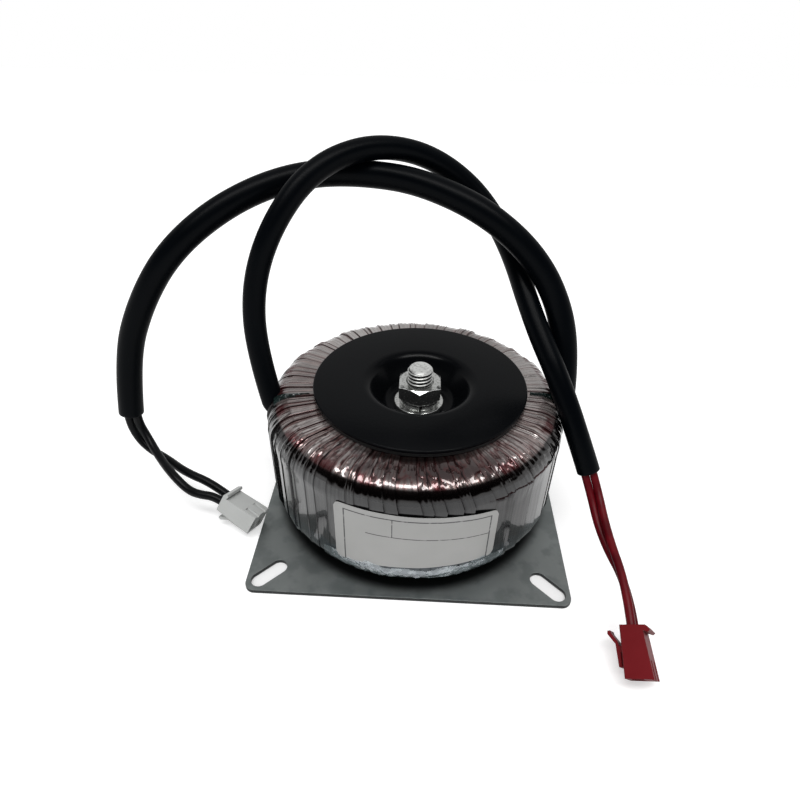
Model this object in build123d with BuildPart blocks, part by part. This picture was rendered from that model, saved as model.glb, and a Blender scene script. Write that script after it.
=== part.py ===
# Toroidal transformer clamped to a slotted square plate, with two sleeved lead pairs.
# Millimetres. Origin: centre of the plate's underside. +Z up, the label faces -Y.
import os
from math import cos, pi, radians, sin, sqrt, tan

from build123d import *

os.makedirs("parts", exist_ok=True)

# Mounting plate
PLATE = 97.1
PLATE_T = 1.2
PLATE_CORNER = 3.0
SLOT_WIDTH = 5.0
SLOT_LENGTH = 12.0
SLOT_AT = 59.6
RECESS_RISE = 5.5
RECESS_FLOOR_R = 10.5
RECESS_MOUTH_R = 16.6
RECESS_BEND = 1.0
BOLT_HOLE_R = 4.25

# The clamping hardware stands a little to the right of the winding's centre
CLAMP_SHIFT = 1.3

# Wound ring
BOTTOM_PAD_T = 3.0
BOTTOM_PAD_IN_R = 21.0
BOTTOM_PAD_OUT_R = 40.0
RING_LOW = PLATE_T + BOTTOM_PAD_T
RING_HEIGHT = 39.0
RING_TOP = RING_LOW + RING_HEIGHT
RING_OUT_R = 47.4
RING_IN_R = 15.5
RING_CORNER = 7.7
PLEATS = 72
PLEAT_DEPTH = 0.55
WRAP_T = 1.0
SECONDARY_T = (2.4, 3.0, 4.0)
FILM_T = 0.4
PRIMARY_T = (2.6, 3.4, 4.2)
CAP_T = 0.5
PRIMARY_GAP = 6.0
PRIMARY_GAP_AT = 170.0

# Rating label
LABEL_FROM = -116.2
LABEL_TO = -59.3
LABEL_LOW = 13.4
LABEL_TOP = 33.5
LABEL_T = 0.15
LABEL_CORNER = 1.6

# Clamping disc, pad and hardware
TOP_PAD_T = 1.2
TOP_PAD_IN_R = 20.0
TOP_PAD_OUT_R = 33.2
DISC_R = 33.5
DISC_T = 1.05
DISH_LIP_R = 16.2
DISH_DEPTH = 8.85
DISH_SLOPE = 60.0
DISH_LIP_BEND = 4.0
DISH_FLOOR_BEND = 3.0
DISC_TOP = RING_TOP + TOP_PAD_T + DISC_T
DISH_FLOOR = DISC_TOP - DISH_DEPTH
WASHER_R = 8.0
WASHER_HOLE_R = 4.2
WASHER_T = 1.6
WASHER_SLIP = 0.15
SPRING_OUT_R = 6.4
SPRING_IN_R = 4.1
SPRING_T = 2.0
SPRING_SPLIT = 0.7
SPRING_SPLIT_AT = -87.0
NUT_ACROSS_FLATS = 13.0
NUT_HEIGHT = 5.5
NUT_BORE_R = 4.0
BOLT_R = 3.98
BOLT_HEAD_H = 5.3
BOLT_LENGTH = 45.0
THREAD_PITCH = 1.25
THREAD_DEPTH = 0.6

# Sleeves and leads
SLEEVE_A_D = 6.9
SLEEVE_B_D = 8.0
BORE_A_D = 5.5
BORE_B_D = 6.4
BORE_DEPTH = 6.0
RED_D = 2.4
BLACK_D = 2.8
RED_APART = 2.5
BLACK_APART = 3.0
WIRE_D = 1.0
WIRE_APART = 1.8
BEND_SHARE = 0.45
POCKET_GAP = 0.12
POCKET_L = 16.0
WAY_R = 2.1
TAIL_INSIDE = 4.0
PRIMARY_TAIL_END = (-42.3, -5.5, 33.4)
SECONDARY_TAIL_END = (44.8, -1.5, 37.8)

# Sleeve routes, chosen by hand from the winding outwards
PRIMARY_ROUTE = [
    (-45, -5, 38.5),
    (-50, 1.5, 53.5),
    (-50, 6.5, 72.5),
    (-43.5, 11.5, 90),
    (-32.5, 22, 103),
    (-16.5, 33, 107.5),
    (1.5, 39.5, 103.5),
    (17.5, 39, 92.5),
    (28.5, 30, 78.5),
    (35.5, 9.5, 63),
    (45, -8.5, 48),
    (54, -18.5, 27),
]
SECONDARY_ROUTE = [
    (46.3, -0.6, 40.5),
    (47, 5.5, 50.5),
    (44, 13, 65.5),
    (35, 17, 80),
    (19.5, 21, 92),
    (0, 29, 98),
    (-19, 34, 99),
    (-39, 31.5, 98.5),
    (-58, 21, 93),
    (-74, 11.5, 82),
    (-86, 7.5, 65.5),
    (-94.5, 5, 45.5),
    (-97, 2.5, 25.5),
]
# Lead routes between the sleeve's mouth and the connector
RED_A_MIDDLE = [(56.7, -34.2, 15.2)]
RED_B_MIDDLE = [(57.9, -34.8, 18.0)]
BLACK_A_MIDDLE = [(-96.5, 0.5, 16.5), (-92, -1.5, 12.5), (-85, -4.5, 11), (-76.5, -11, 11.5)]
BLACK_B_MIDDLE = [(-92, -0.5, 16.5), (-87, -6, 13.5), (-80, -13.5, 13), (-74, -17.5, 10), (-69.5, -19.5, 10)]

# Connector housing: x from the wire end to the mating end, y from lever to window side, z across
HOUSING_L = 13.0
HOUSING_REAR_T = 5.65
HOUSING_FRONT_T = 7.2
HOUSING_W = 7.86
CAVITY_AT = (1.95, 5.91)
CAVITY_MID = 2.8
CAVITY_W = 3.1
CAVITY_H = 3.2
WINDOW_W = 1.5
WINDOW_L = 4.6
WINDOW_DEPTH = 0.9
WINDOW_AT = (1.95, 5.91)
LEVER_W = 4.4
LEAD_INSIDE = 3.5
TERMINAL_W = CAVITY_W
TERMINAL_H = 2.4
TERMINAL_WALL = 0.3
TERMINAL_L = 7.0
BARREL_L = 2.0

RED_PLACE = Plane(Pos(60.28, -57.68, 5.52) * Rot(Z=-90.66) * Rot(Y=25.81) * Rot(X=29.66))
WHITE_PLACE = Plane(Pos(-60.68, -16.37, 4.51) * Rot(Z=-27.3) * Rot(Y=20.51) * Rot(X=68.33))

SECTION = Plane.XZ
CLAMP_SECTION = Plane(origin=(CLAMP_SHIFT, 0, 0), x_dir=(1, 0, 0), z_dir=(0, -1, 0))
CLAMP_AXIS = Axis((CLAMP_SHIFT, 0, 0), (0, 0, 1))


def level(z):
    """Horizontal plane on the clamping hardware's axis."""
    return Plane(origin=(CLAMP_SHIFT, 0, z))


def bend(across, up, radius):
    """Round the sketch corner nearest this point."""
    corner = vertices().sort_by_distance((across, up, 0))[0]
    fillet(corner, radius=radius)


def ring_section(out_by, up_by, in_by, mode=Mode.ADD):
    """Rounded section of the wound ring, inside its outline by these amounts."""
    low = RING_LOW + up_by
    high = RING_TOP - up_by
    inner = RING_IN_R + in_by
    outer = RING_OUT_R - out_by
    with Locations(((inner + outer) / 2, (low + high) / 2)):
        RectangleRounded(outer - inner, high - low, max(RING_CORNER - up_by, 0.8), mode=mode)


def turned(angle):
    """Upright plane through the Z axis, turned anticlockwise from +X as seen from above."""
    return Plane(Rot(Z=angle) * SECTION.location)


def layer(outside, inside, start=0.0, gap=0.0):
    """One layer of the ring between two depths, with an optional gap that ends at the start angle."""
    with BuildSketch(turned(start)) as section:
        ring_section(*outside)
        ring_section(*inside, mode=Mode.SUBTRACT)
    revolve(section.sketch, axis=Axis.Z, revolution_arc=360 - gap)


def deeper(depths, thickness):
    return tuple(d + t for d, t in zip(depths, thickness))


def radii(route):
    """Bend radius at every corner of a route: the arc starts a share of the shorter run from it."""
    found = []
    for before, here, after in zip(route, route[1:], route[2:]):
        came = Vector(*here) - Vector(*before)
        goes = Vector(*after) - Vector(*here)
        turn = radians(came.get_angle(goes))
        found.append(BEND_SHARE * min(came.length, goes.length) / tan(turn / 2))
    return found


def run_plane(start, towards):
    """Plane across a run at its start, facing along it."""
    way = Vector(*towards) - Vector(*start)
    return Plane(origin=start, z_dir=way, x_dir=Vector(1, 0, 0) - way * (way.X / way.length**2))


def tube(route, diameter, name):
    """Straight runs joined by tangent arcs, with a round section."""
    bends = radii(route)
    print(name, "bend radii", [round(r, 1) for r in bends])
    with BuildLine():
        path = FilletPolyline(*route, radius=bends)
    with BuildSketch(run_plane(route[0], route[1])) as section:
        Circle(diameter / 2)
    sweep(section.sketch, path=path)
    print(name, "length", round(path.length, 1))


def lead_route(sleeve_route, apart, middle, place, cavity, reach, back):
    """From the bottom of the sleeve's bore, out of its mouth and into one cavity of the connector."""
    mouth = run_plane(sleeve_route[-1], sleeve_route[-2])
    route = [
        mouth.from_local_coords((apart / 2, 0, BORE_DEPTH)),
        mouth.from_local_coords((apart / 2, 0, -reach)),
    ]
    route += [Vector(*point) for point in middle]
    route += [
        place.from_local_coords((-back, CAVITY_MID, cavity)),
        place.from_local_coords((LEAD_INSIDE, CAVITY_MID, cavity)),
    ]
    return [tuple(point) for point in route]


# Mounting plate: flat sheet with slots and a raised centre
RECESS_SIDE = sqrt(RECESS_RISE**2 + (RECESS_MOUTH_R - RECESS_FLOOR_R) ** 2)
RECESS_SPREAD = PLATE_T * (RECESS_SIDE - (RECESS_MOUTH_R - RECESS_FLOOR_R)) / RECESS_RISE
with BuildPart() as base_plate:
    with BuildSketch():
        RectangleRounded(PLATE, PLATE, PLATE_CORNER)
        with PolarLocations(SLOT_AT, 4, start_angle=45):
            SlotOverall(SLOT_LENGTH, SLOT_WIDTH, mode=Mode.SUBTRACT)
        with Locations((CLAMP_SHIFT, 0)):
            Circle(RECESS_MOUTH_R + 3, mode=Mode.SUBTRACT)
    extrude(amount=PLATE_T)
    with BuildSketch(CLAMP_SECTION):
        with BuildLine():
            Polyline(
                (RECESS_MOUTH_R + 3, 0),
                (RECESS_MOUTH_R, 0),
                (RECESS_FLOOR_R, RECESS_RISE),
                (BOLT_HOLE_R, RECESS_RISE),
                (BOLT_HOLE_R, RECESS_RISE + PLATE_T),
                (RECESS_FLOOR_R + RECESS_SPREAD, RECESS_RISE + PLATE_T),
                (RECESS_MOUTH_R + RECESS_SPREAD, PLATE_T),
                (RECESS_MOUTH_R + 3, PLATE_T),
                close=True,
            )
        make_face()
        bend(RECESS_MOUTH_R, 0, RECESS_BEND + PLATE_T)
        bend(RECESS_MOUTH_R + RECESS_SPREAD, PLATE_T, RECESS_BEND)
        bend(RECESS_FLOOR_R, RECESS_RISE, RECESS_BEND)
        bend(RECESS_FLOOR_R + RECESS_SPREAD, RECESS_RISE + PLATE_T, RECESS_BEND + PLATE_T)
    revolve(axis=CLAMP_AXIS)
base_plate.part.label = "base_plate"

with BuildPart() as bottom_pad:
    with BuildSketch(Plane.XY.offset(PLATE_T)):
        Circle(BOTTOM_PAD_OUT_R)
        Circle(BOTTOM_PAD_IN_R, mode=Mode.SUBTRACT)
    extrude(amount=BOTTOM_PAD_T)
bottom_pad.part.label = "bottom_pad"

# Layers of the ring, as depths (outside, top and bottom, inside) under its outline
UNDER_WRAP = (WRAP_T, WRAP_T, WRAP_T)
UNDER_SECONDARY = deeper(UNDER_WRAP, SECONDARY_T)
UNDER_FILM = deeper(UNDER_SECONDARY, (FILM_T, FILM_T, FILM_T))
UNDER_PRIMARY = deeper(UNDER_FILM, PRIMARY_T)
UNDER_CAP = deeper(UNDER_PRIMARY, (CAP_T, CAP_T, CAP_T))
RING_MID = (RING_LOW + RING_TOP) / 2

with BuildPart() as core:
    with BuildSketch(SECTION):
        ring_section(*UNDER_CAP)
    revolve(axis=Axis.Z)
core.part.label = "core"

with BuildPart() as core_cap_lower:
    layer(UNDER_PRIMARY, UNDER_CAP)
    split(bisect_by=Plane.XY.offset(RING_MID), keep=Keep.BOTTOM)
core_cap_lower.part.label = "core_cap_lower"

with BuildPart() as core_cap_upper:
    layer(UNDER_PRIMARY, UNDER_CAP)
    split(bisect_by=Plane.XY.offset(RING_MID), keep=Keep.TOP)
core_cap_upper.part.label = "core_cap_upper"

# Windings and film. The inner winding is open beside its exit.
with BuildPart() as primary_winding:
    layer(UNDER_FILM, UNDER_PRIMARY, start=PRIMARY_GAP_AT + PRIMARY_GAP, gap=PRIMARY_GAP)
primary_winding.part.label = "primary_winding"

PRIMARY_ENTRY = run_plane(PRIMARY_ROUTE[0], PRIMARY_ROUTE[1])
SECONDARY_ENTRY = run_plane(SECONDARY_ROUTE[0], SECONDARY_ROUTE[1])
PRIMARY_WAY = run_plane(PRIMARY_ROUTE[0], PRIMARY_TAIL_END)
SECONDARY_WAY = run_plane(SECONDARY_ROUTE[0], SECONDARY_TAIL_END)
PRIMARY_WAY_L = (Vector(*PRIMARY_TAIL_END) - Vector(*PRIMARY_ROUTE[0])).length

# Room for the sleeve's end, and for the wires under it
with BuildPart() as primary_pocket:
    with BuildSketch(PRIMARY_ENTRY):
        Circle(SLEEVE_A_D / 2 + POCKET_GAP)
    extrude(amount=POCKET_L)
    with BuildSketch(PRIMARY_WAY.offset(-WAY_R)):
        Circle(WAY_R)
    extrude(amount=WAY_R + PRIMARY_WAY_L)

with BuildPart() as secondary_pocket:
    with BuildSketch(SECONDARY_ENTRY):
        Circle(SLEEVE_B_D / 2 + POCKET_GAP)
    extrude(amount=POCKET_L)
    with BuildSketch(SECONDARY_WAY.offset(-WAY_R)):
        Circle(WAY_R)
    extrude(amount=WAY_R + WRAP_T + 0.6)

with BuildPart() as interwinding_film:
    layer(UNDER_SECONDARY, UNDER_FILM)
    add(primary_pocket.part, mode=Mode.SUBTRACT)
    add(secondary_pocket.part, mode=Mode.SUBTRACT)
interwinding_film.part.label = "interwinding_film"

with BuildPart() as secondary_winding:
    layer(UNDER_WRAP, UNDER_SECONDARY)
    add(primary_pocket.part, mode=Mode.SUBTRACT)
    add(secondary_pocket.part, mode=Mode.SUBTRACT)
secondary_winding.part.label = "secondary_winding"

# Outer wrap: overlapping turns of film, each standing a little higher or lower than the last
PLEAT_SHARES = [1 + 0.35 * sin(2.4 * i) + 0.2 * sin(5.1 * i + 1) for i in range(PLEATS)]
PLEAT_RISE = [min(1.0, max(0.0, 0.5 + 0.4 * sin(2.1 * i) + 0.25 * sin(4.7 * i + 2))) for i in range(PLEATS)]
with BuildPart() as outer_wrap:
    at = 0.0
    for share, rise in zip(PLEAT_SHARES, PLEAT_RISE):
        wide = 360 * share / sum(PLEAT_SHARES)
        sunk = PLEAT_DEPTH * (1 - rise)
        with BuildSketch(turned(at)):
            ring_section(sunk, sunk, sunk)
            ring_section(*UNDER_WRAP, mode=Mode.SUBTRACT)
        revolve(axis=Axis.Z, revolution_arc=wide)
        at += wide
    add(primary_pocket.part, mode=Mode.SUBTRACT)
    add(secondary_pocket.part, mode=Mode.SUBTRACT)
outer_wrap.part.label = "outer_wrap"

with BuildPart() as rating_label:
    with BuildSketch(turned(LABEL_FROM)):
        with Locations((RING_OUT_R + LABEL_T / 2, (LABEL_LOW + LABEL_TOP) / 2)):
            Rectangle(LABEL_T, LABEL_TOP - LABEL_LOW)
    revolve(axis=Axis.Z, revolution_arc=LABEL_TO - LABEL_FROM)
    fillet(edges().filter_by(lambda e: abs(e.length - LABEL_T) < 0.001), radius=LABEL_CORNER)
rating_label.part.label = "rating_label"

# Clamping disc, its pad and the hardware
with BuildPart() as top_pad:
    with BuildSketch(level(RING_TOP)):
        Circle(TOP_PAD_OUT_R)
        Circle(TOP_PAD_IN_R, mode=Mode.SUBTRACT)
    extrude(amount=TOP_PAD_T)
top_pad.part.label = "top_pad"

DISH_FLOOR_R = DISH_LIP_R - DISH_DEPTH / tan(radians(DISH_SLOPE))
SHEET_STEP = DISC_T * tan(radians(DISH_SLOPE / 2))
with BuildPart() as top_disc:
    with BuildSketch(CLAMP_SECTION):
        with BuildLine():
            Polyline(
                (DISC_R, DISC_TOP),
                (DISH_LIP_R, DISC_TOP),
                (DISH_FLOOR_R, DISH_FLOOR),
                (BOLT_HOLE_R, DISH_FLOOR),
                (BOLT_HOLE_R, DISH_FLOOR - DISC_T),
                (DISH_FLOOR_R + SHEET_STEP, DISH_FLOOR - DISC_T),
                (DISH_LIP_R + SHEET_STEP, DISC_TOP - DISC_T),
                (DISC_R, DISC_TOP - DISC_T),
                close=True,
            )
        make_face()
        bend(DISH_LIP_R, DISC_TOP, DISH_LIP_BEND)
        bend(DISH_LIP_R + SHEET_STEP, DISC_TOP - DISC_T, DISH_LIP_BEND - DISC_T)
        bend(DISH_FLOOR_R, DISH_FLOOR, DISH_FLOOR_BEND)
        bend(DISH_FLOOR_R + SHEET_STEP, DISH_FLOOR - DISC_T, DISH_FLOOR_BEND + DISC_T)
        bend(DISC_R, DISC_TOP, 0.35)
        bend(DISC_R, DISC_TOP - DISC_T, 0.2)
    revolve(axis=CLAMP_AXIS)
top_disc.part.label = "top_disc"

with BuildPart() as flat_washer:
    with BuildSketch(level(DISH_FLOOR)):
        with Locations((-WASHER_SLIP, 0)):
            Circle(WASHER_R)
            Circle(WASHER_HOLE_R, mode=Mode.SUBTRACT)
    extrude(amount=WASHER_T)
    chamfer(edges().group_by(Axis.Z)[-1].sort_by(SortBy.RADIUS)[-1], length=0.3)
flat_washer.part.label = "flat_washer"

SPRING_LOW = DISH_FLOOR + WASHER_T
with BuildPart() as spring_washer:
    with BuildSketch(level(SPRING_LOW)):
        Circle(SPRING_OUT_R)
        Circle(SPRING_IN_R, mode=Mode.SUBTRACT)
    extrude(amount=SPRING_T)
    # Slanted split
    with BuildSketch(Plane(level(SPRING_LOW + SPRING_T / 2).location * Rot(Z=SPRING_SPLIT_AT) * Rot(X=25))):
        with Locations((SPRING_OUT_R, 0)):
            Rectangle(2 * SPRING_OUT_R - 2, SPRING_SPLIT)
    extrude(amount=3 * SPRING_T, both=True, mode=Mode.SUBTRACT)
spring_washer.part.label = "spring_washer"


def hexagon_blank(height, chamfer_low, chamfer_high):
    """Section of the blank whose cones round a hexagon's corners."""
    corner = NUT_ACROSS_FLATS / sqrt(3) + 0.4
    flat = NUT_ACROSS_FLATS / 2 * 0.97
    drop = (corner - flat) * tan(radians(30))
    points = [(0, 0)]
    points += [(flat, 0), (corner, drop)] if chamfer_low else [(corner, 0)]
    points += [(corner, height - drop), (flat, height)] if chamfer_high else [(corner, height)]
    return points + [(0, height)]


def hexagon(base, height, chamfer_low, chamfer_high, hole=0.0):
    """Hexagon head or nut, corner towards the label, standing on the base height."""
    with BuildSketch(level(base)) as outline:
        RegularPolygon(NUT_ACROSS_FLATS / sqrt(3), 6, rotation=30)
        if hole:
            Circle(hole, mode=Mode.SUBTRACT)
    extrude(outline.sketch, amount=height)
    with BuildSketch(Plane(origin=(CLAMP_SHIFT, 0, base), x_dir=(1, 0, 0), z_dir=(0, -1, 0))) as blank:
        with BuildLine():
            Polyline(*hexagon_blank(height, chamfer_low, chamfer_high), close=True)
        make_face()
    revolve(blank.sketch, axis=CLAMP_AXIS, mode=Mode.INTERSECT)


NUT_LOW = SPRING_LOW + SPRING_T
with BuildPart() as hex_nut:
    hexagon(NUT_LOW, NUT_HEIGHT, True, True, hole=NUT_BORE_R)
    chamfer(edges().filter_by(GeomType.CIRCLE).filter_by(lambda e: abs(e.radius - NUT_BORE_R) < 0.01), length=0.45)
hex_nut.part.label = "hex_nut"

BOLT_LOW = RECESS_RISE - BOLT_HEAD_H
BOLT_TOP = RECESS_RISE + BOLT_LENGTH
THREAD_ROOT_R = BOLT_R - THREAD_DEPTH
THREADS = int((BOLT_TOP - NUT_LOW - NUT_HEIGHT) / THREAD_PITCH)
with BuildPart() as clamp_bolt:
    hexagon(BOLT_LOW, BOLT_HEAD_H, True, False)
    with BuildSketch(level(RECESS_RISE)):
        Circle(BOLT_R)
    extrude(amount=BOLT_LENGTH)
    chamfer(edges().group_by(Axis.Z)[-1], length=0.7)
    # Thread crests and roots on the free end
    with BuildSketch(CLAMP_SECTION):
        for turn in range(THREADS):
            with Locations((BOLT_R, BOLT_TOP - 1.1 - turn * THREAD_PITCH)):
                Polygon(
                    (0.05, 0.5 * THREAD_PITCH),
                    (-THREAD_DEPTH, 0.1 * THREAD_PITCH),
                    (-THREAD_DEPTH, -0.1 * THREAD_PITCH),
                    (0.05, -0.5 * THREAD_PITCH),
                    align=None,
                )
    revolve(axis=CLAMP_AXIS, mode=Mode.SUBTRACT)
clamp_bolt.part.label = "clamp_bolt"

# Sleeves, bored at both ends where the wires go in
with BuildPart() as primary_sleeve:
    tube(PRIMARY_ROUTE, SLEEVE_A_D, "primary sleeve")
    with BuildSketch(PRIMARY_ENTRY, run_plane(PRIMARY_ROUTE[-1], PRIMARY_ROUTE[-2])):
        Circle(BORE_A_D / 2)
    extrude(amount=BORE_DEPTH, mode=Mode.SUBTRACT)
primary_sleeve.part.label = "primary_sleeve"

with BuildPart() as secondary_sleeve:
    tube(SECONDARY_ROUTE, SLEEVE_B_D, "secondary sleeve")
    with BuildSketch(SECONDARY_ENTRY, run_plane(SECONDARY_ROUTE[-1], SECONDARY_ROUTE[-2])):
        Circle(BORE_B_D / 2)
    extrude(amount=BORE_DEPTH, mode=Mode.SUBTRACT)
secondary_sleeve.part.label = "secondary_sleeve"

# Enamelled wire ends, from inside the sleeve down into the winding
with BuildPart() as primary_tails:
    for side in (-1, 1):
        start = PRIMARY_ENTRY.from_local_coords((side * WIRE_APART / 2, 0, TAIL_INSIDE))
        knee = PRIMARY_ENTRY.from_local_coords((side * WIRE_APART / 2, 0, 0.5))
        end = Vector(*PRIMARY_TAIL_END) + PRIMARY_ENTRY.x_dir * (side * WIRE_APART / 2)
        tube([tuple(start), tuple(knee), tuple(end)], WIRE_D, "primary tail")
primary_tails.part.label = "primary_tails"

with BuildPart() as secondary_tails:
    for side in (-1, 1):
        start = SECONDARY_ENTRY.from_local_coords((side * WIRE_APART / 2, 0, TAIL_INSIDE))
        knee = SECONDARY_ENTRY.from_local_coords((side * WIRE_APART / 2, 0, 0.5))
        end = Vector(*SECONDARY_TAIL_END) + SECONDARY_ENTRY.x_dir * (side * WIRE_APART / 2)
        tube([tuple(start), tuple(knee), tuple(end)], WIRE_D, "secondary tail")
secondary_tails.part.label = "secondary_tails"

# Leads from the sleeves' mouths to the connectors
RED_A = lead_route(PRIMARY_ROUTE, -RED_APART, RED_A_MIDDLE, RED_PLACE, CAVITY_AT[0], 4.0, 9.5)
RED_B = lead_route(PRIMARY_ROUTE, RED_APART, RED_B_MIDDLE, RED_PLACE, CAVITY_AT[1], 4.0, 9.5)
BLACK_A = lead_route(SECONDARY_ROUTE, -BLACK_APART, BLACK_A_MIDDLE, WHITE_PLACE, CAVITY_AT[0], 2.0, 7.0)
BLACK_B = lead_route(SECONDARY_ROUTE, BLACK_APART, BLACK_B_MIDDLE, WHITE_PLACE, CAVITY_AT[1], 2.0, 2.5)

with BuildPart() as primary_lead_a:
    tube(RED_A, RED_D, "primary lead a")
primary_lead_a.part.label = "primary_lead_a"

with BuildPart() as primary_lead_b:
    tube(RED_B, RED_D, "primary lead b")
primary_lead_b.part.label = "primary_lead_b"

with BuildPart() as secondary_lead_a:
    tube(BLACK_A, BLACK_D, "secondary lead a")
secondary_lead_a.part.label = "secondary_lead_a"

with BuildPart() as secondary_lead_b:
    tube(BLACK_B, BLACK_D, "secondary lead b")
secondary_lead_b.part.label = "secondary_lead_b"


# Connectors: one housing and one pair of contacts, built flat and placed twice
def lifted(w):
    """Plane across the housing at this distance from its far side."""
    return Plane.XY.offset(w)


with BuildPart() as housing:
    with BuildSketch(lifted(0)):
        Polygon(
            (0, 0),
            (HOUSING_L, 0),
            (HOUSING_L, HOUSING_FRONT_T),
            (0, HOUSING_REAR_T),
            align=None,
        )
    extrude(amount=HOUSING_W)
    # Rim along the wire end's window side, curling outwards
    with BuildSketch(lifted(0)):
        Polygon(
            (0, HOUSING_REAR_T - 0.6),
            (0, HOUSING_REAR_T + 0.9),
            (1.3, HOUSING_REAR_T + 2.0),
            (1.8, HOUSING_REAR_T + 1.3),
            (1.2, HOUSING_REAR_T - 0.4),
            align=None,
        )
    extrude(amount=HOUSING_W)
    # Rocking lever on its neck
    with BuildSketch(lifted(HOUSING_W / 2 - LEVER_W / 2)):
        Polygon(
            (1.2, -2.8),
            (1.3, -3.5),
            (2.1, -3.6),
            (4.6, -1.75),
            (10.2, -1.4),
            (10.2, -0.5),
            (6.6, -0.5),
            (6.6, 0.2),
            (5.0, 0.2),
            (5.0, -0.9),
            (4.0, -1.1),
            (1.9, -2.6),
            align=None,
        )
    extrude(amount=LEVER_W)
    # Cavities right through, one for each contact
    with BuildSketch(Plane.YZ):
        for across in CAVITY_AT:
            with Locations((CAVITY_MID, across)):
                Rectangle(CAVITY_H, CAVITY_W)
    extrude(amount=HOUSING_L, mode=Mode.SUBTRACT)
    # Windows on the side away from the lever
    for across in WINDOW_AT:
        with Locations((HOUSING_L - WINDOW_L / 2, HOUSING_FRONT_T, across)):
            Box(WINDOW_L, 2 * WINDOW_DEPTH, WINDOW_W, mode=Mode.SUBTRACT)
    # Broken edges along the body
    chamfer(edges().filter_by(Axis.X), length=0.25)

with BuildPart() as terminals:
    for across in CAVITY_AT:
        # Box contact, open towards the mating pin
        with Locations((HOUSING_L - 1.0 - TERMINAL_L / 2, CAVITY_MID, across)):
            Box(TERMINAL_L, TERMINAL_H, TERMINAL_W)
        with Locations((HOUSING_L - 1.0 - TERMINAL_L / 2 + TERMINAL_WALL, CAVITY_MID, across)):
            Box(
                TERMINAL_L,
                TERMINAL_H - 2 * TERMINAL_WALL,
                TERMINAL_W - 2 * TERMINAL_WALL,
                mode=Mode.SUBTRACT,
            )
        # Crimped barrel that meets the lead's end
        with Locations((LEAD_INSIDE + BARREL_L / 2, CAVITY_MID, across)):
            Box(BARREL_L, TERMINAL_H * 0.8, TERMINAL_W * 0.7)

with BuildPart() as red_housing:
    add(RED_PLACE.location * housing.part)
red_housing.part.label = "red_housing"

with BuildPart() as white_housing:
    add(WHITE_PLACE.location * housing.part)
white_housing.part.label = "white_housing"

with BuildPart() as red_terminals:
    add(RED_PLACE.location * terminals.part)
red_terminals.part.label = "red_terminals"

with BuildPart() as white_terminals:
    add(WHITE_PLACE.location * terminals.part)
white_terminals.part.label = "white_terminals"

PARTS = [
    base_plate,
    bottom_pad,
    core,
    core_cap_lower,
    core_cap_upper,
    primary_winding,
    interwinding_film,
    secondary_winding,
    outer_wrap,
    rating_label,
    top_pad,
    top_disc,
    flat_washer,
    spring_washer,
    hex_nut,
    clamp_bolt,
    primary_sleeve,
    secondary_sleeve,
    primary_tails,
    secondary_tails,
    primary_lead_a,
    primary_lead_b,
    secondary_lead_a,
    secondary_lead_b,
    red_housing,
    white_housing,
    red_terminals,
    white_terminals,
]
for item in PARTS:
    export_step(item.part, f"parts/{item.part.label}.step")
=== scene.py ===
# Looks of the toroidal transformer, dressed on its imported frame. Metres, +Z up, the label faces -Y.
from collections import namedtuple
from math import cos, exp, pi, radians, sin, sqrt, tan
from types import SimpleNamespace

import bpy
import numpy as np
from mathutils import Matrix, Vector, noise

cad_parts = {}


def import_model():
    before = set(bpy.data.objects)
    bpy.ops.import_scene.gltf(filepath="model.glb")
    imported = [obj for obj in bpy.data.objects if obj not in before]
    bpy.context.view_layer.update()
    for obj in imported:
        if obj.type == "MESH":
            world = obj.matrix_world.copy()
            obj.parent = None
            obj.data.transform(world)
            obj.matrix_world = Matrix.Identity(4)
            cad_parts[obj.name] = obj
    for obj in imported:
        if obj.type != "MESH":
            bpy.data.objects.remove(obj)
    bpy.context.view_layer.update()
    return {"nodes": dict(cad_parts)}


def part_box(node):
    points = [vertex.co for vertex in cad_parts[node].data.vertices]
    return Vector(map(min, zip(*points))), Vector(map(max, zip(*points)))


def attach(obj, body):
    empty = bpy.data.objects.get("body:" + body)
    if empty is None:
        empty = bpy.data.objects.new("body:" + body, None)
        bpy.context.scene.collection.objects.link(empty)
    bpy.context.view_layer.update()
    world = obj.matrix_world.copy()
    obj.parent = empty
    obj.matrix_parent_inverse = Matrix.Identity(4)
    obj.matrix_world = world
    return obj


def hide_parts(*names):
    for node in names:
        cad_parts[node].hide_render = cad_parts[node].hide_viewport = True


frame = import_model()
MM = 0.001

# Camera
CAMERA_AT = (0.00023647, -0.15332030, 0.15174872)
CAMERA_RIGHT = (0.99876354, 0.04649981, 0.01758279)
CAMERA_UP = (-0.04186918, 0.59612058, 0.80180249)
LENS = 26.6157
SENSOR = 36.0


def add_camera():
    data = bpy.data.cameras.new("camera")
    data.lens = LENS
    data.sensor_width = SENSOR
    data.clip_start = 0.01
    data.clip_end = 20
    camera = bpy.data.objects.new("camera", data)
    right = Vector(CAMERA_RIGHT)
    up = Vector(CAMERA_UP)
    turn = Matrix((right, up, right.cross(up))).transposed()
    camera.matrix_world = Matrix.Translation(CAMERA_AT) @ turn.to_4x4()
    bpy.context.scene.collection.objects.link(camera)
    bpy.context.scene.camera = camera


add_camera()


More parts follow.
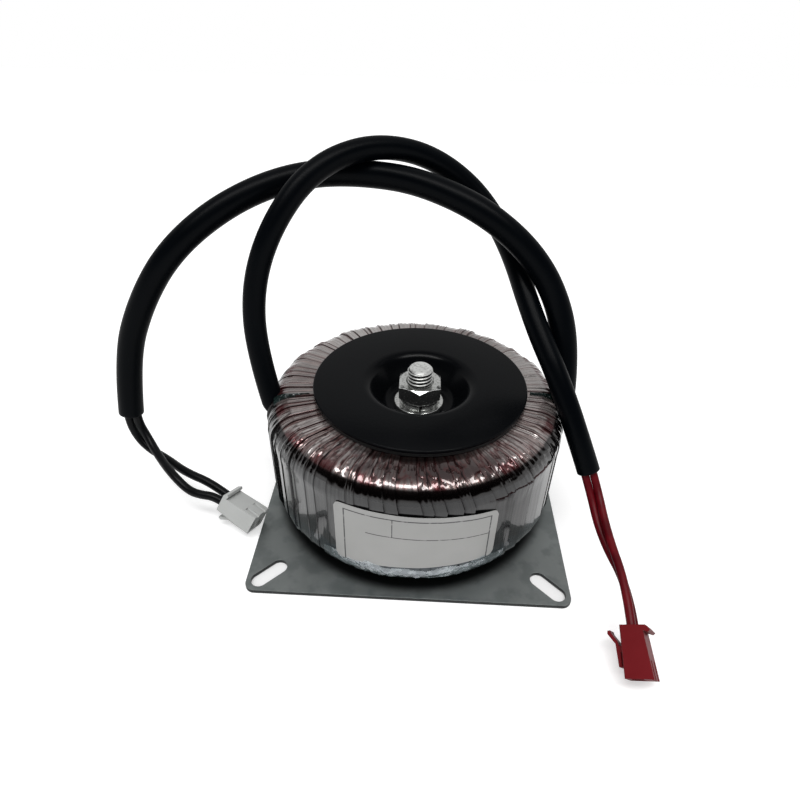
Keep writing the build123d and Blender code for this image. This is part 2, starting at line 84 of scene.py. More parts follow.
# Node trees
class Graph:
    """Short calls that build one node tree. A value is a socket, a number or a colour."""

    def __init__(self, tree):
        self.tree = tree
        tree.nodes.clear()

    def put(self, socket, value):
        if isinstance(value, bpy.types.NodeSocket):
            self.tree.links.new(value, socket)
        elif isinstance(value, tuple) and socket.type == "RGBA":
            socket.default_value = (*value[:3], 1)
        else:
            socket.default_value = value

    def add(self, kind, inputs=None, **settings):
        node = self.tree.nodes.new(kind)
        for name, value in settings.items():
            setattr(node, name, value)
        for name, value in (inputs or {}).items():
            self.put(node.inputs[name], value)
        return node

    def math(self, operation, a, b=0.0, c=0.0, clamp=False):
        node = self.add("ShaderNodeMath", operation=operation, use_clamp=clamp)
        for socket, value in zip(node.inputs, (a, b, c)):
            self.put(socket, value)
        return node.outputs[0]

    def times(self, a, b):
        return self.math("MULTIPLY", a, b)

    def plus(self, a, b):
        return self.math("ADD", a, b)

    def inverse(self, a):
        return self.math("SUBTRACT", 1.0, a)

    def distance(self, x, y):
        return self.math("SQRT", self.plus(self.times(x, x), self.times(y, y)))

    def stretched(self, *factors):
        """The object's coordinates, each times its own factor."""
        return self.join(*[self.times(v, f) for v, f in zip(self.split(self.place()), factors)])

    def step(self, value, low, high):
        """0 below low, 1 above high, smooth between."""
        node = self.add(
            "ShaderNodeMapRange",
            {"Value": value, "From Min": low, "From Max": high},
            interpolation_type="SMOOTHSTEP",
        )
        return node.outputs[0]

    def mix(self, share, a, b):
        node = self.add("ShaderNodeMix", data_type="RGBA")
        self.put(node.inputs[0], share)
        self.put(node.inputs[6], a)
        self.put(node.inputs[7], b)
        return node.outputs[2]

    def blend(self, share, a, b):
        node = self.add("ShaderNodeMix", data_type="FLOAT")
        self.put(node.inputs[0], share)
        self.put(node.inputs[2], a)
        self.put(node.inputs[3], b)
        return node.outputs[0]

    def place(self):
        return self.add("ShaderNodeTexCoord").outputs["Object"]

    def split(self, vector):
        return self.add("ShaderNodeSeparateXYZ", {"Vector": vector}).outputs

    def join(self, x, y, z):
        return self.add("ShaderNodeCombineXYZ", {"X": x, "Y": y, "Z": z}).outputs[0]

    def noise(self, scale, detail=2.0, vector=None, rough=0.5):
        node = self.add(
            "ShaderNodeTexNoise",
            {"Vector": vector or self.place(), "Scale": scale, "Detail": detail, "Roughness": rough},
        )
        return node.outputs["Fac"]

    def value(self, name):
        return self.add("ShaderNodeAttribute", attribute_name=name).outputs["Fac"]

    def bump(self, height, distance, strength=1.0, normal=None):
        node = self.add("ShaderNodeBump", {"Height": height, "Distance": distance, "Strength": strength})
        if normal:
            self.put(node.inputs["Normal"], normal)
        return node.outputs[0]

    def surface(self, inputs):
        shader = self.add("ShaderNodeBsdfPrincipled", inputs)
        self.finish(shader.outputs[0])

    def finish(self, shader, kind="ShaderNodeOutputMaterial"):
        self.add(kind, {"Surface": shader})


def material(name):
    made = bpy.data.materials.new(name)
    made.use_nodes = True
    return made, Graph(made.node_tree)


# Meshes
def piece(name, points, faces, finish, slot=None, replaces=(), sharp=30.0, values=None, stage=False):
    """A mesh that rides on the frame, smooth but for edges sharper than the angle."""
    mesh = bpy.data.meshes.new(name)
    mesh.from_pydata([tuple(p) for p in points], [], [tuple(f) for f in faces])
    for key, numbers in (values or {}).items():
        layer = mesh.attributes.new(key, "FLOAT", "POINT")
        layer.data.foreach_set("value", np.asarray(numbers, np.float32).ravel())
    mesh.polygons.foreach_set("use_smooth", [True] * len(mesh.polygons))
    mesh.set_sharp_from_angle(angle=radians(sharp))
    mesh.materials.append(finish)
    made = bpy.data.objects.new(name, mesh)
    bpy.context.scene.collection.objects.link(made)
    if stage:
        return made
    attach(made, "root")
    if replaces:
        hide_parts(*replaces)
    return made


def grid_faces(rows, columns, close_rows=False, close_columns=False):
    faces = []
    for i in range(rows if close_rows else rows - 1):
        for j in range(columns if close_columns else columns - 1):
            a = i * columns + j
            b = i * columns + (j + 1) % columns
            up = ((i + 1) % rows) * columns
            faces.append((a, b, up + (j + 1) % columns, up + j))
    return faces


def rounded(corners, steps=8):
    """Closed outline from (across, up, radius) corners, with arcs at the corners."""
    line = []
    for k, (x, y, radius) in enumerate(corners):
        here = Vector((x, y))
        before = Vector(corners[k - 1][:2]) - here
        after = Vector(corners[(k + 1) % len(corners)][:2]) - here
        before.normalize()
        after.normalize()
        half = before.angle(after) / 2
        reach = radius / tan(half)
        middle = here + (before + after).normalized() * (radius / sin(half))
        first = here + before * reach - middle
        last = here + after * reach - middle
        sweep = first.angle_signed(last)
        for s in range(steps + 1):
            turn = Matrix.Rotation(-sweep * s / steps, 2)
            line.append(middle + turn @ first)
    return line


def lathe(name, line, centre, finish, steps=160, **extra):
    """Closed outline turned about the upright axis through the centre."""
    points = []
    for across, up in line:
        for k in range(steps):
            a = 2 * pi * k / steps
            points.append((centre[0] + across * cos(a), centre[1] + across * sin(a), up))
    return piece(name, points, grid_faces(len(line), steps, True, True), finish, **extra)


# Cords: sleeves over the wires, and the leads that come out of them
PRIMARY_ROUTE = [
    (-0.045, -0.005, 0.0385),
    (-0.050, 0.0015, 0.0535),
    (-0.050, 0.0065, 0.0725),
    (-0.0435, 0.0115, 0.090),
    (-0.0325, 0.022, 0.103),
    (-0.0165, 0.033, 0.1075),
    (0.0015, 0.0395, 0.1035),
    (0.0175, 0.039, 0.0925),
    (0.0285, 0.030, 0.0785),
    (0.0355, 0.0095, 0.063),
    (0.045, -0.0085, 0.048),
    (0.054, -0.0185, 0.027),
]
SECONDARY_ROUTE = [
    (0.0463, -0.0006, 0.0405),
    (0.047, 0.0055, 0.0505),
    (0.044, 0.013, 0.0655),
    (0.035, 0.017, 0.080),
    (0.0195, 0.021, 0.092),
    (0.0, 0.029, 0.098),
    (-0.019, 0.034, 0.099),
    (-0.039, 0.0315, 0.0985),
    (-0.058, 0.021, 0.093),
    (-0.074, 0.0115, 0.082),
    (-0.086, 0.0075, 0.0655),
    (-0.0945, 0.005, 0.0455),
    (-0.097, 0.0025, 0.0255),
]
RED_A_ROUTE = [
    (0.05067, -0.01629, 0.03164),
    (0.05428, -0.0203, 0.02322),
    (0.0567, -0.0342, 0.0152),
    (0.06183, -0.05049, 0.01243),
    (0.0617, -0.06219, 0.00677),
]
RED_B_ROUTE = [
    (0.053, -0.0159, 0.03246),
    (0.05661, -0.01991, 0.02404),
    (0.0579, -0.0348, 0.018),
    (0.05985, -0.05196, 0.01553),
    (0.05972, -0.06366, 0.00987),
]
BLACK_A_ROUTE = [
    (-0.09775, 0.00326, 0.03159),
    (-0.09873, 0.00228, 0.02371),
    (-0.0965, 0.0005, 0.0165),
    (-0.092, -0.0015, 0.0125),
    (-0.085, -0.0045, 0.011),
    (-0.0765, -0.011, 0.0115),
    (-0.06583, -0.01459, 0.01007),
    (-0.05709, -0.0191, 0.0064),
]
BLACK_B_ROUTE = [
    (-0.09477, 0.00322, 0.03123),
    (-0.09576, 0.00223, 0.02335),
    (-0.092, -0.0005, 0.0165),
    (-0.087, -0.006, 0.0135),
    (-0.080, -0.0135, 0.013),
    (-0.074, -0.0175, 0.010),
    (-0.0695, -0.0195, 0.010),
    (-0.06332, -0.02003, 0.00987),
    (-0.05832, -0.0226, 0.00776),
]
SLEEVE_A_D = 6.9 * MM
SLEEVE_B_D = 8.0 * MM
BORE_A_D = 5.5 * MM
BORE_B_D = 6.4 * MM
BORE_DEPTH = 6.0 * MM
SLEEVE_STEP = 1.2 * MM
SLEEVE_UNEVEN = 0.018
RED_D = 2.4 * MM
BLACK_D = 2.8 * MM


def nurbs(name, route, thickness=0.0):
    """The route's points as control points of one open spline."""
    data = bpy.data.curves.new(name, "CURVE")
    data.dimensions = "3D"
    data.resolution_u = 16
    spline = data.splines.new("NURBS")
    spline.points.add(len(route) - 1)
    for point, at in zip(spline.points, route):
        point.co = (*at, 1)
    spline.order_u = 3
    spline.use_endpoint_u = True
    if thickness:
        data.bevel_depth = thickness / 2
        data.bevel_resolution = 10
        data.use_fill_caps = True
    made = bpy.data.objects.new(name, data)
    bpy.context.scene.collection.objects.link(made)
    return made


def line_of(route):
    """Points along the spline through a route."""
    guide = nurbs("guide", route)
    bpy.context.view_layer.update()
    mesh = bpy.data.meshes.new_from_object(guide)
    line = [v.co.copy() for v in mesh.vertices]
    bpy.data.meshes.remove(mesh)
    bpy.data.objects.remove(guide)
    return line


def sleeve_material():
    made, g = material("sleeve_pvc")
    grain = g.noise(900, 4)
    streak = g.noise(60, 2)
    colour = g.mix(streak, (0.0004, 0.0009, 0.0017), (0.0012, 0.0020, 0.0030))
    rough = g.blend(streak, 0.30, 0.42)
    g.surface({
        "Base Color": colour,
        "Roughness": rough,
        "IOR": 1.5,
        "Specular IOR Level": 0.06,
        "Normal": g.bump(grain, 0.05 * MM, 0.35),
    })
    return made


def lead_material(name, dark, light, rough):
    made, g = material(name)
    patch = g.noise(180, 3)
    colour = g.mix(g.step(patch, 0.35, 0.7), dark, light)
    g.surface({
        "Base Color": colour,
        "Roughness": g.blend(patch, rough, rough + 0.12),
        "Specular IOR Level": 0.16,
        "Normal": g.bump(g.noise(1500, 3), 0.03 * MM, 0.4),
    })
    return made


SLEEVE = sleeve_material()
RED_LEAD = lead_material("red_lead_pvc", (0.070, 0.0012, 0.004), (0.125, 0.003, 0.007), 0.30)
BLACK_LEAD = lead_material("black_lead_pvc", (0.0012, 0.0015, 0.0020), (0.0030, 0.0034, 0.0042), 0.30)


def sleeve_rows(total, outer, bore):
    """Distance and radius of each ring of points: bore, rounded lip, body, lip and bore."""
    lip = (outer - bore) / 4
    bends = 6
    middle = bore / 2 + lip
    rows = [(BORE_DEPTH, 0.0), (BORE_DEPTH, bore / 2)]
    for k in range(bends + 1):
        a = pi * k / bends
        rows.append((lip - lip * sin(a), middle - lip * cos(a)))
    body = int(total / SLEEVE_STEP)
    rows += [(lip + (total - 2 * lip) * k / body, outer / 2) for k in range(1, body)]
    rows += [(total - at, radius) for at, radius in reversed(rows[: bends + 3])]
    return rows


def sleeve(name, route, outer, bore, finish):
    """Soft tube along the route, with rounded lips and an open bore at both ends."""
    line = line_of(route)
    run = [0.0]
    for a, b in zip(line, line[1:]):
        run.append(run[-1] + (b - a).length)
    total = run[-1]

    def spot(distance):
        distance = min(max(distance, 0.0), total)
        k = max(i for i, r in enumerate(run[:-1]) if r <= distance)
        share = (distance - run[k]) / (run[k + 1] - run[k])
        return line[k].lerp(line[k + 1], share), (line[k + 1] - line[k]).normalized()

    rows = sleeve_rows(total, outer, bore)
    sides = 44
    points = []
    across = Vector((1, 0, 0))
    for at, radius in rows:
        middle, way = spot(at)
        across = (across - way * across.dot(way)).normalized()
        other = way.cross(across)
        for k in range(sides):
            a = 2 * pi * k / sides
            side = across * cos(a) + other * sin(a)
            soft = 1 + SLEEVE_UNEVEN * noise.noise(middle * 70 + side * 0.8) if radius > bore / 2 else 1
            points.append(middle + side * (radius * soft))
    faces = grid_faces(len(rows), sides, close_columns=True)
    made = piece(name, points, faces, finish, slot="sleeve", sharp=50)
    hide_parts(name.replace("_tube", "_sleeve"))
    return made


def lead(name, route, thickness, finish):
    made = nurbs(name + "_wire", route, thickness)
    made.data.materials.append(finish)
    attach(made, "root")
    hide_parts(name)


sleeve("primary_tube", PRIMARY_ROUTE, SLEEVE_A_D, BORE_A_D, SLEEVE)
sleeve("secondary_tube", SECONDARY_ROUTE, SLEEVE_B_D, BORE_B_D, SLEEVE)
lead("primary_lead_a", RED_A_ROUTE, RED_D, RED_LEAD)
lead("primary_lead_b", RED_B_ROUTE, RED_D, RED_LEAD)
lead("secondary_lead_a", BLACK_A_ROUTE, BLACK_D, BLACK_LEAD)
lead("secondary_lead_b", BLACK_B_ROUTE, BLACK_D, BLACK_LEAD)

# Outer wrap: overlapping turns of clear film over the copper
RING_LO, RING_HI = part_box("outer_wrap")
RING_LOW = RING_LO.z
RING_TOP = RING_HI.z
RING_OUT = (RING_HI.x - RING_LO.x) / 2
RING_IN = 15.5 * MM
RING_CORNER = 7.7 * MM
DISC_LO, DISC_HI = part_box("top_disc")
DISC_R = (DISC_HI.x - DISC_LO.x) / 2
# The disc's shadow on the film in front of it, and the wider shade round that
SHADOW_FROM = DISC_R + 0.5 * MM
SHADOW_TO = DISC_R + 2.7 * MM
SHADE_FROM = 42.5 * MM
SHADE_TO = 46.5 * MM
PLEATS = 72
PLEAT_DEPTH = 0.55 * MM
PLEAT_STOPS = (0, 0.03, 0.09, 0.18, 0.28, 0.38, 0.48, 0.58, 0.68, 0.78, 0.87, 0.94, 0.975, 0.995)
PLEAT_TILT = 0.15 * MM
EDGE_RISE = 0.17 * MM
# The side walls' turns lean most at one place round the ring
LEAN = radians(3.2)
LEAN_FROM = radians(50)
SWAY = radians(0.5)
# Folds on the shoulder, ripples on the top, each turn's own level, creases in front, and the most in all
CRUMPLE = 0.34 * MM
RIPPLE = 0.10 * MM
NOD = 0.15 * MM
CREASE = 0.36 * MM
CREASE_WIDTH = 0.14
DEEPEST = 0.74 * MM
# The outermost turns end in a scalloped line on the side wall
SCALLOP_AT = 34.2 * MM
SCALLOP_DROP = 2.2 * MM
SCALLOP_STEP = 0.10 * MM
# Below this height the side wall's film carries a patchy, bluish painted reflection of the plate
FOOT_AT = 16.6 * MM
FOOT_FADE = 0.6 * MM
# Film seams from the sleeves towards the disc
SEAM_LEFT = radians(-169.5)
SEAM_RIGHT = radians(-2.0)
# Loose film below the label: first angle and span in degrees, reach down the wall, furthest turn under it
FILM_START = -122
FILM_SPAN = 68
FILM_REACH = 8.2 * MM
FILM_UNDER = radians(75)
Pleat = namedtuple("Pleat", "start wide rise wave sway")
Spot = namedtuple("Spot", "radius height out up")


def clamp(value):
    return min(1.0, max(0.0, value))


def fade(value, start, width):
    """0 up to the start, 1 from one width beyond it, straight between."""
    return clamp((value - start) / width)


def ring_section():
    """Points round the ring's section: radius, height and the outward direction's two parts."""
    corners = (
        (RING_IN + RING_CORNER, RING_TOP - RING_CORNER, 180, 90, 5),
        (RING_OUT - RING_CORNER, RING_TOP - RING_CORNER, 90, 0, 22),
        (RING_OUT - RING_CORNER, RING_LOW + RING_CORNER, 0, -90, 10),
        (RING_IN + RING_CORNER, RING_LOW + RING_CORNER, -90, -180, 4),
    )
    runs = (11, 15, 4, 3)
    rows = []
    for (across, up, start, end, steps), run in zip(corners, runs):
        for k in range(steps + 1):
            a = radians(start + (end - start) * k / steps)
            rows.append((across + RING_CORNER * cos(a), up + RING_CORNER * sin(a), cos(a), sin(a), run))
    return rows


def with_runs(rows):
    """The section with points along its straight runs too."""
    full = []
    for row, after in zip(rows, rows[1:] + rows[:1]):
        full.append(Spot(*row[:4]))
        gap = sqrt((after[0] - row[0]) ** 2 + (after[1] - row[1]) ** 2)
        if gap > 2.5 * MM:
            for k in range(1, row[4] + 1):
                share = k / (row[4] + 1)
                full.append(Spot(
                    row[0] + (after[0] - row[0]) * share,
                    row[1] + (after[1] - row[1]) * share,
                    row[2],
                    row[3],
                ))
    return full


def pleat_facts():
    """Start, width, rise, tilt and sway of every pleat, the same series as the frame's."""
    shares = [1 + 0.35 * sin(2.4 * i) + 0.2 * sin(5.1 * i + 1) for i in range(PLEATS)]
    rises = [clamp(0.5 + 0.4 * sin(2.1 * i) + 0.25 * sin(4.7 * i + 2)) for i in range(PLEATS)]
    pleats = []
    at = 0.0
    for i in range(PLEATS):
        wide = 2 * pi * shares[i] / sum(shares)
        pleats.append(Pleat(at, wide, rises[i], sin(12.9 * i + 0.7), sin(7.3 * i + 2.1)))
        at += wide
    return pleats


def pleat_angle(pleat, stop, spot):
    """Where a point of a pleat lies round the ring."""
    lean = LEAN * max(0.0, cos(pleat.start + LEAN_FROM)) * (1 - max(0.0, spot.up))
    sway = SWAY * pleat.sway * (spot.height - RING_TOP) / RING_TOP
    return pleat.start + pleat.wide * stop + lean + sway


def crease_at(angle, wave, spot):
    """Sharpness of the loose creases on the top, in front of the disc."""
    ahead = fade(-sin(angle), 0.45, 0.35) * fade(spot.up, 0.78, 0.16)
    valley = abs(noise.noise(Vector((angle * 17, spot.radius / MM * 0.20 + 0.5 * wave, 5))))
    return ahead * max(0.0, 1 - valley / CREASE_WIDTH)


def fold_depth(i, pleat, stop, spot, angle, shoulder):
    """Depth of the folds and ripples, and of the turn's own level on the shoulder."""
    at = Vector((angle * 9, spot.radius / MM * 0.35, spot.height / MM * 0.35))
    fold = noise.noise(at * 1.3) + 0.6 * noise.noise(at * 2.9)
    ripple = 0.5 + 0.5 * sin(2 * pi * stop * (2 + i % 2) + 4 * pleat.wave)
    uneven = 1 - 0.70 * fade(-sin(pleat.start), 0.76, 0.20)
    crumple = CRUMPLE * shoulder * uneven * (0.55 * ripple + 0.6 * abs(fold))
    rippled = RIPPLE * max(0.0, spot.up) * ripple * (1 - 0.5 * shoulder)
    level = sin(5.3 * i + 0.4) - 0.5 + sin(8.7 * i + 2.6) * (spot.up - spot.out) * 1.4
    return crumple + rippled - NOD * shoulder * level


def pleat_depth(i, pleat, stop, spot, angle, crease):
    """How far a point of a pleat lies under the ring's smooth outline, as a negative length."""
    outside = spot.radius > (RING_IN + RING_OUT) / 2
    shoulder = max(0.0, spot.up) * max(0.0, spot.out) * 2 if outside else 0.0
    deep = -PLEAT_DEPTH * (1 - pleat.rise) * (0.55 + 0.45 * shoulder)
    deep += PLEAT_TILT * pleat.wave * (2 * stop - 1)
    deep -= spot.radius * pleat.wide**2 / 8 * (1 - (2 * stop - 1) ** 2)
    deep -= EDGE_RISE * (1 - stop) ** 1.4
    deep -= fold_depth(i, pleat, stop, spot, angle, shoulder)
    deep -= CREASE * crease
    line = SCALLOP_AT - SCALLOP_DROP * abs(sin(pi * stop)) * (0.5 + 0.5 * pleat.sway)
    if spot.height < line and spot.out > 0.5:
        deep -= SCALLOP_STEP
    return min(0.0, max(deep, -DEEPEST))


def painted_gap_shade(stop, width, crease):
    """Painted shade in the gap beside a pleat's two edges and in its creases."""
    behind = exp(-stop * width / (0.34 * MM))
    before = 0.3 * exp(-(1 - stop) * width / (0.1 * MM))
    return behind + before + 0.7 * crease**2


def wrap_mesh(finish):
    spots = with_runs(ring_section())
    pleats = pleat_facts()
    points = []
    values = {"edge": [], "tone": [], "turn": [], "up": []}
    for spot in spots:
        for i, pleat in enumerate(pleats):
            for stop in PLEAT_STOPS:
                angle = pleat_angle(pleat, stop, spot)
                crease = crease_at(angle, pleat.wave, spot)
                deep = pleat_depth(i, pleat, stop, spot, angle, crease)
                across = spot.radius + spot.out * deep
                points.append((across * cos(angle), across * sin(angle), spot.height + spot.up * deep))
                # The edge value carries painted shade for the gaps and creases.
                values["edge"].append(painted_gap_shade(stop, pleat.wide * spot.radius, crease))
                values["tone"].append(0.5 + 0.5 * sin(31.7 * i + 1.3))
                values["turn"].append(i + stop)
                values["up"].append(spot.up)
    columns = PLEATS * len(PLEAT_STOPS)
    faces = [tuple(reversed(f)) for f in grid_faces(len(spots), columns, True, True)]
    piece("wrap_film", points, faces, finish, "wrap", ("outer_wrap",), 22, values)


def wrap_signals(g):
    """The values that the wrap's colours depend on."""
    w = SimpleNamespace()
    x, w.y, w.z = g.split(g.place())
    w.edge = g.value("edge")
    w.tone = g.value("tone")
    w.up = g.value("up")
    turn = g.value("turn")
    w.away = g.distance(x, w.y)

    def along(scale):
        return g.join(turn, g.times(w.away, scale), g.times(w.z, scale))

    w.along = along(60)
    w.wander = g.noise(2.2, 3, w.along)
    w.patch = g.noise(0.55, 2, along(100))
    w.strand = g.noise(9, 2, along(9))
    w.blotch = g.noise(0.9, 3, along(260))
    w.fine = g.math("SINE", g.plus(g.times(turn, 19.0), g.times(w.wander, 9.0)))
    w.ahead = g.step(g.times(w.y, -1.0), 24 * MM, 38 * MM)
    w.behind = g.step(w.y, -10 * MM, 16 * MM)
    return w


def wrap_top(g, w):
    """Copper wires that show through the film: strands and dark gaps, painted shade in blotches towards
    the front, and painted light that makes the top paler towards the back.
    """
    colour = g.mix(w.tone, (0.200, 0.172, 0.165), (0.520, 0.480, 0.468))
    colour = g.mix(g.step(w.strand, 0.40, 0.70), colour, (0.310, 0.205, 0.190))
    colour = g.mix(g.times(g.step(w.fine, 0.2, 0.95), 0.58), colour, (0.040, 0.014, 0.014))
    # Painted shade: dark blotches on the folds, stronger towards the front.
    blotch = g.times(g.step(w.blotch, 0.50, 0.62), g.blend(w.ahead, 0.25, 0.75))
    colour = g.mix(blotch, colour, (0.060, 0.040, 0.040))
    # Painted light: the top is paler towards the back.
    return g.mix(g.times(w.behind, g.blend(w.tone, 0.20, 0.70)), colour, (0.620, 0.595, 0.580))


def wrap_side(g, w):
    """Dark film on the side wall, with a patchy, bluish painted reflection of the plate near its foot."""
    colour = g.mix(w.tone, (0.008, 0.008, 0.009), (0.052, 0.053, 0.054))
    colour = g.mix(g.step(w.strand, 0.42, 0.72), colour, (0.020, 0.020, 0.021))
    # Painted reflection: patchy bluish tones of the plate below, on the wall's foot.
    foot = g.mix(w.patch, (0.006, 0.010, 0.013), (0.060, 0.078, 0.090))
    height = g.plus(w.z, g.times(w.wander, 2.4 * MM))
    low = g.inverse(g.step(height, FOOT_AT, FOOT_AT + FOOT_FADE))
    return g.mix(g.times(low, 0.85), colour, foot)


def wrap_shades(g, w, colour):
    """Painted shade before the disc, red wires on the shoulder and in the gaps, painted shade deep in the
    gaps, and a painted dark reflection in the band below.
    """
    reach = g.plus(w.away, g.times(w.wander, 4 * MM))
    near = g.inverse(g.step(reach, SHADE_FROM, SHADE_TO))
    shade = g.times(g.times(w.ahead, near), g.blend(w.tone, 0.95, 0.45))
    colour = g.mix(shade, colour, (0.030, 0.012, 0.012))
    band = g.times(g.step(w.up, 0.64, 0.82), g.inverse(g.step(w.up, 0.93, 0.992)))
    red = g.times(band, g.step(w.patch, 0.44, 0.56))
    colour = g.mix(g.times(red, 0.85), colour, (0.085, 0.007, 0.010))
    beside = g.times(g.step(w.edge, 0.10, 0.35), g.step(w.up, 0.70, 0.85))
    colour = g.mix(g.times(beside, g.blend(w.ahead, 0.42, 0.28)), colour, (0.190, 0.024, 0.025))
    # Painted shade: near black deep in the gaps beside the pleats' edges.
    gap = g.times(g.step(w.edge, 0.15, 0.85), g.blend(g.step(w.up, 0.30, 0.60), 0.50, 0.92))
    colour = g.mix(gap, colour, (0.004, 0.002, 0.002))
    # Painted reflection: a near-black band under the crest, where the film mirrors the dark part of the
    # room.
    painted_dark_reflection = g.times(g.step(w.up, 0.38, 0.46), g.inverse(g.step(w.up, 0.74, 0.81)))
    return g.mix(g.times(painted_dark_reflection, 0.93), colour, (0.004, 0.002, 0.002))


def wrap_material():
    """Clear film that mirrors the room, over copper wires that show through it on the top."""
    made, g = material("film_over_copper")
    w = wrap_signals(g)
    colour = g.mix(g.step(w.up, 0.62, 0.90), wrap_side(g, w), wrap_top(g, w))
    colour = wrap_shades(g, w, colour)
    # Painted shadow of the disc: near black on the film under its front edge.
    under = g.times(g.inverse(g.step(w.away, SHADOW_FROM, SHADOW_TO)), w.ahead)
    colour = g.mix(under, colour, (0.002, 0.002, 0.002))
    height = g.plus(g.times(w.fine, 0.22), g.noise(4, 2, w.along))
    hidden = g.math("MAXIMUM", under, g.math("MULTIPLY", w.edge, 0.8, clamp=True))
    on_top = g.step(w.up, 0.5, 0.9)
    g.surface({
        "Base Color": colour,
        "Metallic": g.blend(on_top, 0.85, 0.70),
        "Roughness": g.blend(on_top, 0.20, 0.24),
        "Specular IOR Level": 0.5,
        "Coat Weight": g.inverse(hidden),
        "Coat Roughness": g.blend(w.patch, 0.02, 0.07),
        "Coat IOR": 1.6,
        "Normal": g.bump(height, 0.1 * MM, 0.35),
        "Coat Normal": g.bump(height, 0.1 * MM, 0.10),
    })
    return made


# Near-black finish of the seams: a real fold of film, coloured as painted shade of the gap along it.
def seam_shade_material():
    made, g = material("seam_painted_shade")
    patch = g.noise(700, 3)
    g.surface({
        "Base Color": g.mix(patch, (0.003, 0.006, 0.006), (0.012, 0.026, 0.024)),
        "Roughness": g.blend(patch, 0.14, 0.26),
        "Coat Weight": 0.6,
        "Normal": g.bump(patch, 0.2 * MM, 0.5),
    })
    return made


def root(name, route, outer, finish):
    """Tapered end of a sleeve, gathered where it goes down into the ring."""
    line = line_of(route)
    start = line[0]
    way = (line[4] - start).normalized()
    across = (Vector((1, 0, 0)) - way * way.x).normalized()
    other = way.cross(across)
    inward = Vector((-start.x, -start.y, 0)).normalized()
    rows = (
        (1.2, 1.0),
        (0.4, 1.012),
        (-0.8, 0.99),
        (-2.0, 0.93),
        (-3.4, 0.82),
        (-4.8, 0.66),
        (-6.0, 0.45),
        (-6.6, 0.1),
    )
    sides = 60
    points = []
    for along, share in rows:
        sink = max(0.0, -along)
        middle = start + way * (along * MM) + inward * ((0.10 * sink + 0.030 * sink**2) * MM)
        for j in range(sides):
            a = 2 * pi * j / sides
            fold = 1 + 0.012 * min(3.0, sink) * sin(a * 7 + 0.5 * along)
            points.append(middle + (across * cos(a) + other * sin(a)) * (outer / 2 * share * fold))
    piece(name, points, grid_faces(len(rows), sides, close_columns=True), finish, "sleeve", sharp=50)


def seam(name, angle, near, far, narrow, wide, finish):
    """Folded edge of the film that runs outward over the top of the ring."""
    corner = RING_OUT - RING_CORNER
    rows = 40
    profile = (-1.0, -0.75, -0.4, -0.1, 0.15, 0.45, 0.8, 1.0)
    points = []
    for j in range(rows + 1):
        share = j / rows
        across = near + (far - near) * share
        half = narrow + (wide - narrow) * share**1.5
        for k, side in enumerate(profile):
            fold = noise.noise(Vector((share * 9, k * 0.9, angle)))
            skirt = 0.9 * MM if abs(side) == 1 else 0
            lift = (0.10 + 0.30 * (1 - side * side) * (0.7 + fold)) * MM - skirt
            drop = RING_CORNER - sqrt(RING_CORNER**2 - max(0.0, across - corner) ** 2)
            turn = angle + (side * half + 0.25 * MM * fold) / across
            points.append((across * cos(turn), across * sin(turn), RING_TOP - 0.15 * MM - drop + lift))
    piece(name, points, grid_faces(rows + 1, len(profile)), finish, "wrap", sharp=40)


def clear_film_material():
    made, g = material("clear_film")
    crease = g.noise(420, 3)
    shine = g.add("ShaderNodeBsdfGlossy", {"Color": (0.86, 0.92, 0.96), "Roughness": 0.10})
    g.put(shine.inputs["Normal"], g.bump(crease, 0.6 * MM, 0.8))
    through = g.add("ShaderNodeBsdfTransparent", {"Color": (0.90, 0.93, 0.95)})
    facing = g.add("ShaderNodeLayerWeight", {"Blend": 0.35}).outputs["Fresnel"]
    share = g.plus(g.times(facing, 0.30), g.times(g.step(crease, 0.45, 0.7), 0.22))
    both = g.add("ShaderNodeMixShader")
    g.put(both.inputs[0], share)
    g.put(both.inputs[1], through.outputs[0])
    g.put(both.inputs[2], shine.outputs[0])
    g.finish(both.outputs[0])
    return made


def low_film(finish):
    """Loose clear film along the foot of the label."""
    columns = 260
    rows = 26
    centre = (RING_OUT - RING_CORNER, RING_LOW + RING_CORNER)
    points = []
    for j in range(rows + 1):
        for i in range(columns + 1):
            share = i / columns
            angle = radians(FILM_START + FILM_SPAN * share)
            start = (1.5 + 0.6 * sin(9 * share) + 0.5 * sin(31 * share)) * MM
            reach = (j / rows) * FILM_REACH - start * (1 - j / rows)
            bump = noise.noise(Vector((share * 34, j * 0.16, 0.5)))
            bump += 0.5 * noise.noise(Vector((share * 90, j * 0.5, 7)))
            lift = (0.28 + 0.24 * bump) * MM * min(1.0, 4 * share, 4 - 4 * share)
            if reach < 0:
                across = RING_OUT + lift
                up = centre[1] - reach
            else:
                turn = min(reach / RING_CORNER, FILM_UNDER)
                across = centre[0] + (RING_CORNER + lift) * cos(turn)
                up = centre[1] - (RING_CORNER + lift) * sin(turn)
            points.append((across * cos(angle), across * sin(angle), up))
    piece("low_film", points, grid_faces(rows + 1, columns + 1), finish, "wrap", sharp=35)


wrap_mesh(wrap_material())
root("primary_root", PRIMARY_ROUTE, SLEEVE_A_D, SLEEVE)
root("secondary_root", SECONDARY_ROUTE, SLEEVE_B_D, SLEEVE)
SEAM_SHADE_FILM = seam_shade_material()
seam("seam_left", SEAM_LEFT, 33.4 * MM, 44.6 * MM, 0.25 * MM, 1.70 * MM, SEAM_SHADE_FILM)
seam("seam_right", SEAM_RIGHT, 36.0 * MM, 44.8 * MM, 0.60 * MM, 1.00 * MM, SEAM_SHADE_FILM)
low_film(clear_film_material())


